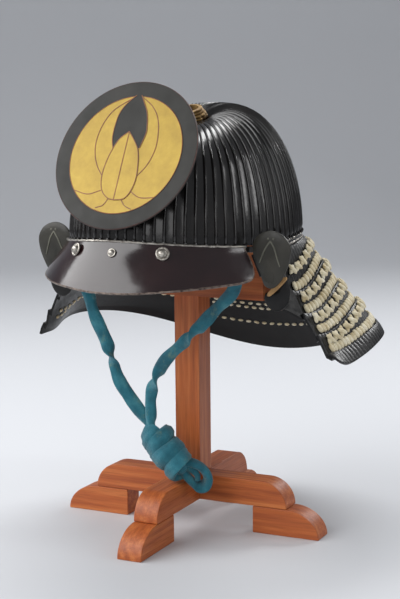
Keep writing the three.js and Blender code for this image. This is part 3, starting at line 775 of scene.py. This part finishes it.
ARCS = [[(-46.5, -37.8), (-30.6, -41.3), (-17, -37.1)], [(15.4, -37.4), (26.9, -43.4), (41.6, -43)],
        [(-7, -45.6), (-11, -52.1), (-18.6, -55)], [(7.7, -46.3), (12.9, -51.9), (20.6, -55.3)]]


def flat_curve(line, count=40):
    return catmull([(x, y, 0) for x, y in line], count)[:, :2]


lance = np.vstack([flat_curve(LANCE_LEFT), flat_curve(LANCE_RIGHT)[::-1][:-1]])
bud = np.vstack([flat_curve(BUD_LEFT)[1:], flat_curve(BUD_RIGHT)[::-1][1:]])
piece("crest_gold_field", flat_inlay(circle(GOLD_RADIUS, whole_turn(120)), -0.1), GOLD)
piece("crest_dark_lance", flat_inlay(lance, 0.1), DISC)
piece("crest_gold_bud", flat_inlay(bud, 0.3, 0.4), GOLD)
outlines = [strip(LANCE_LEFT, 0.8, 0.35), strip(LANCE_RIGHT, 0.8, 0.35)]
outlines += [strip(line, 0.9, 0.5) for line in (BUD_LEFT, BUD_RIGHT, BUD_MIDDLE)]
outlines += [strip(line, 0.9, 0.15) for line in (LEAF_LEFT, LEAF_RIGHT, *ARCS)]
# The line round the gold stays open at the top, where the lance begins
round_gold = on_disc(circle(GOLD_RADIUS, np.radians(np.linspace(94.5, 444.5, 160))), -0.05)
outlines.append(tube(round_gold, 0.4, 0.22, CREST_UP, 6))
piece("crest_outlines", joined(outlines), LINE, sharp=60)
# Two plain solids of the frame stay, with their own look
for node, look in (("crest_holder", DULL), ("stand_head_board", BOARD_WOOD)):
    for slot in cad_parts[node].material_slots:
        slot.material = look


# The neck guard
def ease(a, b, t):
    return a + (b - a) * (0.5 - 0.5 * math.cos(math.pi * min(1, max(0, t))))


def turned(phi):
    """Degrees from the front, on either side."""
    return abs((phi + 180) % 360 - 180)


def guard_line(row, phi):
    """One point of a line of the guard, as distance outside the rim and height."""
    angle = turned(phi)
    ear, left, right, side, back = GUARD[row]
    front = right if phi > 180 or phi < 0 else left
    if row == 0 and angle < FRONT_AT:
        return front[0], float(rim_height(phi)) - 8
    if angle < FRONT_AT:
        a, b, t = ear, front, (angle - EAR_AT) / (FRONT_AT - EAR_AT)
    elif angle < SIDE_AT:
        a, b, t = front, side, (angle - FRONT_AT) / (SIDE_AT - FRONT_AT)
    else:
        a, b, t = side, back, (angle - SIDE_AT) / (180 - SIDE_AT)
    lift = 7 * max(0, (87 - angle) / 7) ** 2 if row == LAST and front is left else 0
    return ease(a[0], b[0], t), ease(a[1], b[1], t) + lift


def lame_line(row, phi):
    """A lame's top, its bend and the end of its reach behind the next lame."""
    top, low = guard_line(row - 1, phi), guard_line(row, phi)
    if row == LAST:
        return [top, ((top[0] + low[0]) / 2 + 0.5, (top[1] + low[1]) / 2 + 0.5), low]
    following = lame_line(row + 1, phi)[1]
    long = math.hypot(following[0] - low[0], following[1] - low[1])
    dx, dz = (following[0] - low[0]) / long, (following[1] - low[1]) / long
    inset = LAME_WALL + GAP
    bend = (low[0] + dz * inset, low[1] - dx * inset)
    reach = min(5.5, max(0.5, (turned(phi) - 70) * 0.6))
    return [top, bend, (bend[0] + dx * reach, bend[1] + dz * reach)]


# Depths (Y) at which the first lames are cut on their way to the ears, and how far a scale rises down a lame
EXTRA = {1: [-58, -52.4, -46.8, -41.9, -37], 2: [-46.8, -41.9, -37]}
RAISED = np.array([0, 0.5, 1, 1, 1, 1, 1, 0.6])


def lame_section(row, phi, ridge):
    """Outer line with a raised scale rib, then the plain inner face."""
    (x0, z0), (x1, z1), (x2, z2) = lame_line(row, phi)
    t = np.array([0, 0.03, 0.2, 0.45, 0.7, 0.93])
    line = [(x0 + (x1 - x0) * a, z0 + (z1 - z0) * a) for a in t] + [(x1, z1), (x2, z2)]
    if row == LAST:
        line = [(np.interp(a, [0, 0.5, 1], [x0, x1, x2]), np.interp(a, [0, 0.5, 1], [z0, z1, z2]))
                for a in (0, 0.03, 0.2, 0.45, 0.7, 0.9, 0.97, 1)]
    points = section(line, LAME_WALL)
    outward = unit(points[:8] - points[::-1][:8])
    points[:8] += outward * (ridge * RAISED)[:, None]
    return points


def lame_shape(row):
    count = SCALES[row] * 6
    phis = np.linspace(GUARD_FROM, GUARD_TO, count + 1)
    swell = 0.55 * np.abs(np.sin(np.pi * np.arange(count + 1) / 6)) ** 0.6
    rows = [place(phi, *lame_section(row, phi, rise).T) for phi, rise in zip(phis, swell)]
    for side in (1, -1) if row in EXTRA else ():
        for y in EXTRA[row][::-1]:
            def angle(out):
                return math.degrees(math.acos(-y / (RIM_LONG + 1.3 + out)))
            points = lame_section(row, side * angle(12), 0.2)
            ring = np.array([place(side * angle(d), d, z) for d, z in points])
            rows.insert(0, ring) if side > 0 else rows.append(ring)
    return skin(rows)


for row in range(1, LAST + 1):
    piece("guard_lame_%d" % row, lame_shape(row), SCALE, ["neck_lame_%d" % row], 45)


def on_lame(row, phi, down, off, start="top", inside=False):
    """A point down from a lame's top, up from its bend or down its reach, and its three directions."""
    def at(angle):
        line = lame_line(row, angle)
        (x0, z0), (x1, z1) = line[1:] if start == "reach" else line[:2]
        long = math.hypot(x1 - x0, z1 - z0)
        dx, dz = (x1 - x0) / long, (z1 - z0) / long
        far = long - down if start == "bend" else down
        rise = -off - LAME_WALL if inside else off
        return place(angle, x0 + dx * far - dz * rise, z0 + dz * far + dx * rise), (dx, dz)
    here, (dx, dz) = at(phi)
    along = unit(at(phi + 0.4)[0] - at(phi - 0.4)[0])
    slope = unit(place(phi, dx, dz) - place(phi, 0, 0))
    outward = unit(np.cross(along, slope))
    if (outward * here)[:2].sum() < 0:
        outward = -outward
    return here, along, unit(np.cross(outward, along)), outward


rng = np.random.default_rng(7)


def lace_step(row):
    return (GUARD_TO - GUARD_FROM) / SCALES[row]


def spin(x, y, angle):
    return x * math.cos(angle) + y * math.sin(angle), y * math.cos(angle) - x * math.sin(angle)


def dense_lacing(row):
    """The close band of upright laces over a lame's bend."""
    places = []
    step = lace_step(row)
    phi = LACED_FROM + step / 2
    while phi < LACED_TO:
        centre, along, down, out = on_lame(row, phi, 5.75 + rng.uniform(-0.45, 0.45), 1.75, "bend")
        x, y = spin(along, down, math.radians(9 if phi < 180 else -9) + rng.uniform(-0.06, 0.06))
        places.append((centre, x * 2.9, y * rng.uniform(4.3, 5.1), out * rng.uniform(1.35, 1.65)))
        phi += step
    return pads(places)


def lace_tail(start, down, out, long):
    """A loose end that hangs from the last knot."""
    t = np.linspace(0, 1, 14)[:, None]
    path = start + out * (1.2 + 1.5 * np.sin(2.2 * t)) + down * 3 * t + np.array([0, 0, -1.0]) * long * t
    return tube(path, 1.9 - 0.6 * t[:, 0], 1.0, np.cross(down, out), 8)


def cross_knots(row):
    """Crossed laces over the top of a lame, with a loose end at the front of two rows."""
    places, tails = [], []
    step = lace_step(row) * 2.1
    phi = LACED_FROM + step / 2
    while phi < LACED_TO:
        from_front = (turned(phi) - FRONT_AT) / (SIDE_AT - FRONT_AT)
        down = ease(21.5, 10.7, from_front) if row == 1 else 6.6
        centre, along, slope, out = on_lame(row, phi, down + rng.uniform(-0.4, 0.4), 2.0)
        for lift, tilt in ((0.0, 0.75), (1.3, -0.75)):
            x, y = spin(along, slope, tilt + rng.uniform(-0.15, 0.15))
            long, wide = rng.uniform(6.9, 7.7), rng.uniform(2.7, 3.2)
            places.append((centre + out * lift, x * long, y * wide, out * 1.9))
        if not tails and row in (2, 4):
            tails.append(lace_tail(centre, slope, out, 9 if row == 2 else 17))
        phi += step
    return joined([beads(places)] + tails)


for row in range(1, LAST):
    piece("lace_band_%d" % row, dense_lacing(row), LACE, ["lacing_%d" % row], 60)
    piece("lace_knots_%d" % row, cross_knots(row), LACE, sharp=60)


def inner_dots():
    """Laces that show as dots inside: a double row, and one more row that stops past the back."""
    places = []
    for row, start, down, end in ((3, "reach", 2.8, 276), (4, "top", 10.5, 276), (4, "reach", 2.8, 206)):
        step = lace_step(row) * 1.9
        phi = 84 + step
        while phi < end - step / 2:
            centre, along, slope, out = on_lame(row, phi, down, 0.35, start, True)
            x, y = spin(along, slope, rng.uniform(-0.25, 0.25))
            places.append((centre, x * rng.uniform(3.0, 3.6), y * rng.uniform(1.7, 2.0), out * 1.2))
            phi += step
    return beads(places, 8, 5)


piece("inner_lace_dots", inner_dots(), LACE, sharp=60)


# Ears, lower ears, leather edges and cord rings
def domed_plate(outline, y, thickness, side, steps, count=96):
    """A plate with a rounded edge whose front swells in the steps given as (inset, rise)."""
    flat = catmull([(side * x, y + thickness, z) for x, z in outline], count, True)
    bm, front = slab(flat, (0, -thickness, 0))
    rims = [edge for edge in bm.edges if len({round(vert.co.y, 3) for vert in edge.verts}) == 1]
    bmesh.ops.recalc_face_normals(bm, faces=bm.faces)
    bmesh.ops.bevel(bm, geom=rims, offset=0.5, offset_type="OFFSET", segments=3, profile=0.5,
                    affect="EDGES", material=-1)
    front = min(bm.faces, key=lambda face: face.calc_center_median().y - face.calc_area() * 0.01)
    for inset, rise in steps:
        bmesh.ops.inset_region(bm, faces=[front], thickness=inset, depth=rise, use_even_offset=False)
    if steps:
        bmesh.ops.poke(bm, faces=[front], offset=0.1)
    return bm


RIDGES = [[(123.5, 307.5), (127.5, 301), (130.5, 292), (133.2, 283.5)],
          [(123.5, 307.5), (119, 301.5), (115.3, 294), (112, 286.5)]]


def ear_ridges(side):
    """Two ridges that part downward on an ear, and two small studs above them."""
    parts = []
    share = np.linspace(0, 1, 30)
    for line in RIDGES:
        x, z = flat_curve(line, 30).T
        path = np.stack([side * x, -62.3 - 0.5 * np.sin(np.pi * share), z], 1)
        parts.append(tube(path, 1.0 - 0.35 * share, 0.9, np.array([1.0, 0, 0]), 8))
    stud = (np.array([1.2, 0, 0]), np.array([0, 0.9, 0]), np.array([0, 0, 1.2]))
    parts.append(beads([(np.array([side * x, -62.2, 309.6]), *stud) for x in (121, 126.5)]))
    return joined(parts)


def iron_ring(side):
    """A ring that stands inside the waist band, along it."""
    centre = place(60, -4.2, 292.0) * [side, 1, 1]
    turn = math.radians(25.2)
    level = np.array([side * math.sin(turn), math.cos(turn), 0])
    path = [centre + level * x + np.array([0, 0, z]) for x, z in circle(7, whole_turn(48))]
    return tube(path, 1.5, 1.5, np.cross(level, [0, 0, 1]), 12, True)


EAR_SWELL = [(1.6, 0.7), (3.2, 0.7), (4.5, 0.35), (4, 0.1)]
LOWER_SWELL = [(0.8, 0.4), (0.8, 0.25)]
for name, side in (("left", 1), ("right", -1)):
    piece("ear_plate_" + name, domed_plate(EAR, -61, 2.4, side, EAR_SWELL), OLIVE,
          ["ear_" + name], 50)
    # The ridges' lighter colour is a painted highlight
    piece("ear_ridges_" + name, ear_ridges(side), PAINTED_RIDGE_HIGHLIGHT, sharp=60)
    piece("lower_ear_plate_" + name, domed_plate(LOWER_EAR, -50, 2.4, side, LOWER_SWELL, 72), SCALE,
          ["lower_ear_" + name], 50)
    piece("leather_strip_" + name, domed_plate(LEATHER, -52, 1.4, side, [], 48), LEATHER_LOOK,
          ["leather_edge_" + name], 50)
    piece("iron_ring_" + name, iron_ring(side), DULL, ["cord_ring_" + name], 60)


# The stand
def quarter(x0, z1, x1, z0, steps=20):
    """A quarter round from its top down to its end."""
    t = np.linspace(0, np.pi / 2, steps + 1)
    return [(x0 + (x1 - x0) * math.sin(a), z0 + (z1 - z0) * math.cos(a)) for a in t]


def stick(name, outline, half, turn, node, seed, upright=False):
    """A board from its side outline, with its grain along it."""
    bm, _ = slab([(x, -half, z) for x, z in outline], (0, 2 * half, 0))
    grain = bm.verts.layers.float_vector.new("grain")
    for vert in bm.verts:
        x, y, z = vert.co / 1000
        long, deep = (z, x) if upright else (x, z)
        vert[grain] = (seed * 0.37 + long, seed * 0.11 + y, seed * 0.23 + deep)
    bmesh.ops.rotate(bm, verts=bm.verts, cent=(0, 0, 0),
                     matrix=Matrix.Rotation(math.radians(STAND_TURN + turn), 3, "Z"))
    bmesh.ops.translate(bm, verts=bm.verts, vec=(*STAND_AT, 0))
    return piece(name, bm, WOOD, [node], 40, bevel=0.9)


right_end = quarter(BEAM_END - 27, BEAM_TOP, BEAM_END, FOOT_TOP)
left_end = [(-x, z) for x, z in right_end][::-1]
# The beams are halved over each other with a little air
half_lap, notch = (FOOT_TOP + BEAM_TOP) / 2, STOCK + AIR
over = left_end + [(-notch, BEAM_TOP), (-notch, half_lap - AIR / 2), (notch, half_lap - AIR / 2),
                   (notch, BEAM_TOP)] + right_end
under = left_end + right_end + [(notch, FOOT_TOP), (notch, half_lap + AIR / 2), (-notch, half_lap + AIR / 2),
                                (-notch, FOOT_TOP)]
stick("beam_side_to_side", over, STOCK, 0, "stand_beam_side_to_side", 1)
stick("beam_front_to_back", under, STOCK, 90, "stand_beam_front_to_back", 2)
foot_top = FOOT_TOP - AIR
foot_outline = [(FOOT_IN, 0)] + quarter(BEAM_END, foot_top, FOOT_OUT, 0)[::-1] + [(FOOT_IN, foot_top)]
for i, name in enumerate(("left", "back", "right", "front")):
    stick("foot_" + name, foot_outline, STOCK, 90 * i, "stand_foot_" + name, 3 + i)
post_outline = [(-POST, BEAM_TOP + AIR), (POST, BEAM_TOP + AIR), (POST, BOARD_FOOT - AIR),
                (-POST, BOARD_FOOT - AIR)]
stick("post", post_outline, POST, 0, "stand_post", 9, True)


# Floor, backdrop and light
def sweep():
    """Floor and wall in one sheet, turned to face the camera."""
    left, near, bend, radius, high = -7, -6, 2.2, 1.2, 16
    line = [(left, near, 0), (left, bend, 0)]
    line += [(left, bend + radius * math.sin(t), radius - radius * math.cos(t))
             for t in np.linspace(0.1, math.pi / 2, 14)]
    line.append((left, bend + radius, high))
    bm = bmesh.new()
    verts = [bm.verts.new(point) for point in line]
    edges = [bm.edges.new(pair) for pair in zip(verts, verts[1:])]
    drawn = bmesh.ops.extrude_edge_only(bm, edges=edges)["geom"]
    bmesh.ops.translate(bm, verts=corners(drawn), vec=(-2 * left, 0, 0))
    bmesh.ops.rotate(bm, verts=bm.verts, cent=(0, 0, 0),
                     matrix=Matrix.Rotation(math.radians(CAMERA_YAW), 3, "Z"))
    for face in bm.faces:
        face.smooth = True
    mesh = bpy.data.meshes.new("floor")
    bm.to_mesh(mesh)
    bm.free()
    mat = bpy.data.materials.new("floor")
    mat.use_nodes = True
    shader = mat.node_tree.nodes["Principled BSDF"]
    shader.inputs["Base Color"].default_value = rgb(206, 208, 212)
    shader.inputs["Roughness"].default_value = 0.7
    mesh.materials.append(mat)
    obj = bpy.data.objects.new("floor", mesh)
    bpy.context.scene.collection.objects.link(obj)


def softbox(name, at, aim, size, power):
    data = bpy.data.lights.new(name, "AREA")
    data.shape, data.size, data.size_y, data.energy = "RECTANGLE", size[0], size[1], power
    obj = bpy.data.objects.new(name, data)
    back = unit(np.array(at) - np.array(aim))
    right = unit(np.cross([0, 0, 1], back))
    up = np.cross(back, right)
    obj.matrix_world = frame_of(at, right, up, back)
    bpy.context.scene.collection.objects.link(obj)


sweep()
MIDDLE = (0, 0, 0.3)
softbox("key", (-1.15, -1.04, 1.22), MIDDLE, (3.0, 1.15), 44)
softbox("above", (-0.45, 0.65, 1.85), MIDDLE, (1.1, 0.45), 15)
softbox("behind", (0.5, 1.75, 1.25), MIDDLE, (0.6, 0.5), 14)
softbox("side", (1.3, 0.5, 1.0), MIDDLE, (0.3, 1.0), 4)
softbox("fill", (0.9, -2.2, 0.9), MIDDLE, (1.2, 1.2), 6)
world = bpy.data.worlds.new("world")
world.use_nodes = True
world.node_tree.nodes["Background"].inputs["Color"].default_value = (0.94, 0.96, 1, 1)
world.node_tree.nodes["Background"].inputs["Strength"].default_value = 0.3
bpy.context.scene.world = world
bpy.context.scene.view_settings.view_transform = "Standard"
